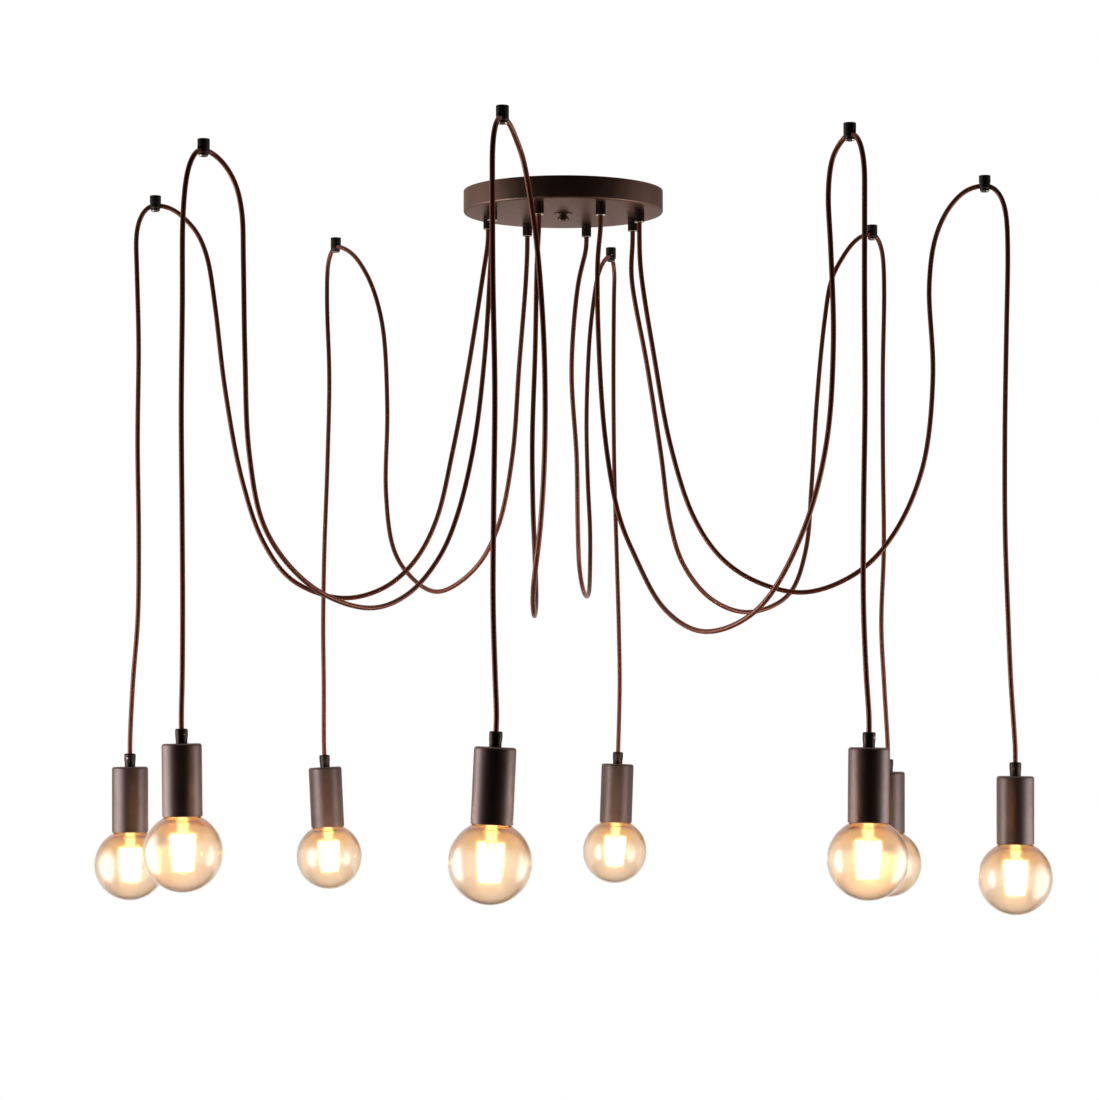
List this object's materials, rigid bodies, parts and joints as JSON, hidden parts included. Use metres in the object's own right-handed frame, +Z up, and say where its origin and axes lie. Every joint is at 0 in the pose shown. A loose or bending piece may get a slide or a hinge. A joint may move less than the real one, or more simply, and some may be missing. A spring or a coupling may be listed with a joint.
{
  "type": "spider pendant light",
  "caption": "Spider pendant light: round ceiling canopy with cords that swag out to ceiling hooks and hang down to metal cups with amber globe bulbs.",
  "frame": {"origin": "middle of the mounting bar's top face, on the ceiling plane, at the canopy's axis", "axes": "+Z up, out of the ceiling side; +X to the right and +Y away from the viewer in the picture"},
  "size_m": [1.0521, 1.089, 0.8049],
  "materials": {
    "bronze_coat": "satin dark bronze powder coat",
    "black_bronze": "satin near-black bronze",
    "zinc_plate": "zinc plated",
    "white_nylon": "matte",
    "phenolic": "moulded, matte",
    "cord_jacket": "satin dark red-brown jacket",
    "amber_glass": "clear amber, blown"
  },
  "bodies": {
    "ceiling": {"canopy_dish": "bronze_coat", "mounting_bar": "zinc_plate", "finial_nut": "black_bronze", "terminal_block": "white_nylon", "canopy_gland_1": "black_bronze", "ceiling_hook_1": "black_bronze", "swag_cord_1": "cord_jacket", "canopy_gland_2": "black_bronze", "ceiling_hook_2": "black_bronze", "swag_cord_2": "cord_jacket", "canopy_gland_3": "black_bronze", "ceiling_hook_3": "black_bronze", "swag_cord_3": "cord_jacket", "canopy_gland_4": "black_bronze", "ceiling_hook_4": "black_bronze", "swag_cord_4": "cord_jacket", "canopy_gland_5": "black_bronze", "ceiling_hook_5": "black_bronze", "swag_cord_5": "cord_jacket", "canopy_gland_6": "black_bronze", "ceiling_hook_6": "black_bronze", "swag_cord_6": "cord_jacket", "canopy_gland_7": "black_bronze", "ceiling_hook_7": "black_bronze", "swag_cord_7": "cord_jacket", "canopy_gland_8": "black_bronze", "ceiling_hook_8": "black_bronze", "swag_cord_8": "cord_jacket"},
    "pendant_1": {"drop_cord_1": "cord_jacket", "lampholder_1": "phenolic", "lamp_cup_1": "bronze_coat"},
    "screwed_bulb_1": {"bulb_1": "amber_glass"},
    "pendant_2": {"drop_cord_2": "cord_jacket", "lampholder_2": "phenolic", "lamp_cup_2": "bronze_coat"},
    "screwed_bulb_2": {"bulb_2": "amber_glass"},
    "pendant_3": {"drop_cord_3": "cord_jacket", "lampholder_3": "phenolic", "lamp_cup_3": "bronze_coat"},
    "screwed_bulb_3": {"bulb_3": "amber_glass"},
    "pendant_4": {"drop_cord_4": "cord_jacket", "lampholder_4": "phenolic", "lamp_cup_4": "bronze_coat"},
    "screwed_bulb_4": {"bulb_4": "amber_glass"},
    "pendant_5": {"drop_cord_5": "cord_jacket", "lampholder_5": "phenolic", "lamp_cup_5": "bronze_coat"},
    "screwed_bulb_5": {"bulb_5": "amber_glass"},
    "pendant_6": {"drop_cord_6": "cord_jacket", "lampholder_6": "phenolic", "lamp_cup_6": "bronze_coat"},
    "screwed_bulb_6": {"bulb_6": "amber_glass"},
    "pendant_7": {"drop_cord_7": "cord_jacket", "lampholder_7": "phenolic", "lamp_cup_7": "bronze_coat"},
    "screwed_bulb_7": {"bulb_7": "amber_glass"},
    "pendant_8": {"drop_cord_8": "cord_jacket", "lampholder_8": "phenolic", "lamp_cup_8": "bronze_coat"},
    "screwed_bulb_8": {"bulb_8": "amber_glass"}
  },
  "joints": [
    {"name": "swing_1", "type": "hinge", "parent": "ceiling", "child": "pendant_1", "pos_m": [0.37211, 0.25099, -0.01058], "axis": [0.7071, 0.7071, 0], "range_deg": [-11, 11]},
    {"name": "bulb_turn_1", "type": "hinge", "parent": "pendant_1", "child": "screwed_bulb_1", "pos_m": [0.3891, 0.26799, -0.72882], "axis": [-0.0052, 0, -1], "range_deg": [0, 1080]},
    {"name": "swing_2", "type": "hinge", "parent": "ceiling", "child": "pendant_2", "pos_m": [0.06195, 0.44076, -0.01058], "axis": [0.225, 0.9744, 0], "range_deg": [-11, 11]},
    {"name": "bulb_turn_2", "type": "hinge", "parent": "pendant_2", "child": "screwed_bulb_2", "pos_m": [0.06778, 0.46601, -0.72264], "axis": [-0.0349, 0, -0.9994], "range_deg": [0, 1080]},
    {"name": "swing_3", "type": "hinge", "parent": "ceiling", "child": "pendant_3", "pos_m": [-0.27899, 0.3558, -0.01058], "axis": [-0.3746, 0.9272, 0], "range_deg": [-11, 11]},
    {"name": "bulb_turn_3", "type": "hinge", "parent": "pendant_3", "child": "screwed_bulb_3", "pos_m": [-0.28799, 0.37809, -0.72518], "axis": [0.0506, 0, -0.9987], "range_deg": [0, 1080]},
    {"name": "swing_4", "type": "hinge", "parent": "ceiling", "child": "pendant_4", "pos_m": [-0.46198, 0.02987, -0.01058], "axis": [-1, 0, 0], "range_deg": [-11, 11]},
    {"name": "bulb_turn_4", "type": "hinge", "parent": "pendant_4", "child": "screwed_bulb_4", "pos_m": [-0.48601, 0.02987, -0.719], "axis": [0.0087, 0, -1], "range_deg": [0, 1080]},
    {"name": "swing_5", "type": "hinge", "parent": "ceiling", "child": "pendant_5", "pos_m": [-0.36848, -0.3353, -0.01058], "axis": [-0.6157, -0.788, 0], "range_deg": [-11, 11]},
    {"name": "bulb_turn_5", "type": "hinge", "parent": "pendant_5", "child": "screwed_bulb_5", "pos_m": [-0.38394, -0.35508, -0.6892], "axis": [0.0175, 0, -0.9998], "range_deg": [0, 1080]},
    {"name": "swing_6", "type": "hinge", "parent": "ceiling", "child": "pendant_6", "pos_m": [-0.06081, -0.51767, -0.01058], "axis": [-0.342, -0.9397, 0], "range_deg": [-11, 11]},
    {"name": "bulb_turn_6", "type": "hinge", "parent": "pendant_6", "child": "screwed_bulb_6", "pos_m": [-0.07005, -0.54304, -0.69065], "axis": [-0.0454, 0, -0.999], "range_deg": [0, 1080]},
    {"name": "swing_7", "type": "hinge", "parent": "ceiling", "child": "pendant_7", "pos_m": [0.28272, -0.42553, -0.01058], "axis": [0.515, -0.8572, 0], "range_deg": [-11, 11]},
    {"name": "bulb_turn_7", "type": "hinge", "parent": "pendant_7", "child": "screwed_bulb_7", "pos_m": [0.29566, -0.44705, -0.6921], "axis": [-0.014, 0, -0.9999], "range_deg": [0, 1080]},
    {"name": "swing_8", "type": "hinge", "parent": "ceiling", "child": "pendant_8", "pos_m": [0.45922, -0.10856, -0.01058], "axis": [0.9781, -0.2079, 0], "range_deg": [-11, 11]},
    {"name": "bulb_turn_8", "type": "hinge", "parent": "pendant_8", "child": "screwed_bulb_8", "pos_m": [0.48669, -0.11439, -0.72664], "axis": [-0.007, 0, -1], "range_deg": [0, 1080]}
  ]
}
